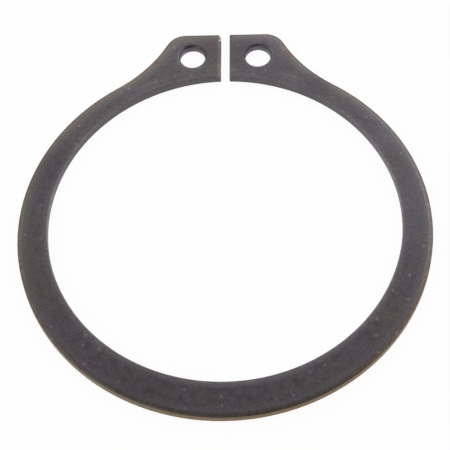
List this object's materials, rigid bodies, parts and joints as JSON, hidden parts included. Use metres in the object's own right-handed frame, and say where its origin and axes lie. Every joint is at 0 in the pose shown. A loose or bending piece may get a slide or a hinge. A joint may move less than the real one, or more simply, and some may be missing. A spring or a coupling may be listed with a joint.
{
  "type": "retaining ring",
  "caption": "Flat external retaining ring of tapered spring steel, open between lugs with plier holes; it springs into a shaft groove to stop parts moving along the shaft.",
  "frame": {"origin": "centre of the bore, on the ring's underside", "axes": "+Z along the bore axis, up through the thickness; +Y from the bore's centre through the gap between the lugs"},
  "size_m": [0.0448, 0.0487, 0.001],
  "materials": {
    "blackened_spring_steel": "spring steel, phosphated dark grey-brown and oiled, with tan rubbed edges"
  },
  "bodies": {
    "root": {"retaining_ring": "blackened_spring_steel"}
  },
  "joints": []
}
